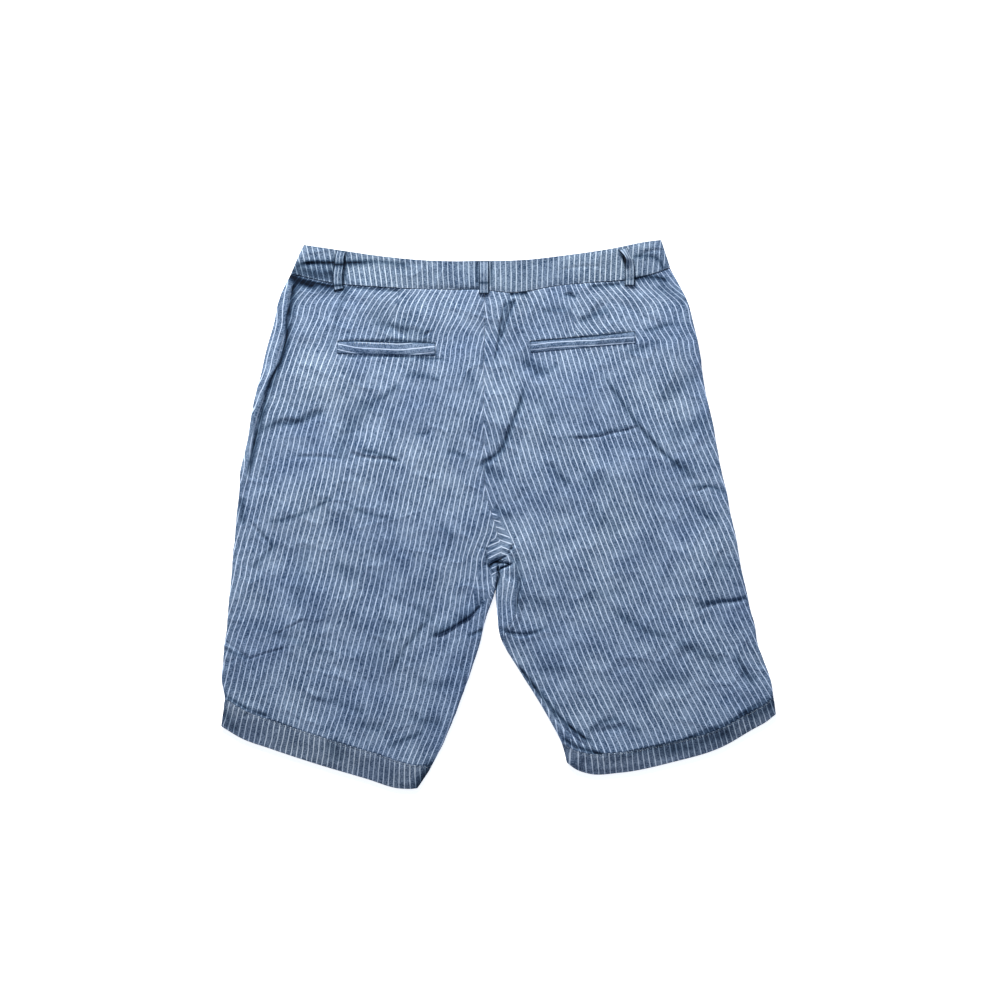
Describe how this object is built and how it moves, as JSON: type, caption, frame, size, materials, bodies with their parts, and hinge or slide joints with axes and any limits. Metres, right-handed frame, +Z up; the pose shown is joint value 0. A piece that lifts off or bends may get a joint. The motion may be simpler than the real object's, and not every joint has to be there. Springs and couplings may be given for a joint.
{
  "type": "bermuda shorts",
  "caption": "Knee-length bermuda shorts in pinstriped linen, lying flat with the back uppermost: waistband with belt loops, welted back pockets and stitched turn-up hems.",
  "frame": {"origin": "on the surface it lies on, below the middle of its outline", "axes": "+Z up, out of the surface; +Y towards the waistband; +X to the right of the picture, which is the wearer's right side"},
  "size_m": [0.665, 0.659, 0.016],
  "materials": {
    "striped_linen": "matte linen chambray with a pale pinstripe",
    "hem_linen": "matte, greyer wrong side of the same linen",
    "button": "polished, marbled",
    "stitching": "spun thread"
  },
  "bodies": {
    "root": {"back_panel_left": "striped_linen", "back_panel_right": "striped_linen", "front_panel_left": "striped_linen", "front_panel_right": "striped_linen", "waistband": "striped_linen", "belt_loop_back_left": "striped_linen", "belt_loop_back_center": "striped_linen", "belt_loop_back_right": "striped_linen", "belt_loop_front_left": "striped_linen", "belt_loop_front_right": "striped_linen", "pocket_welt_left": "striped_linen", "pocket_welt_right": "striped_linen", "hem_left": "hem_linen", "hem_right": "hem_linen", "waist_button": "button"}
  },
  "joints": []
}
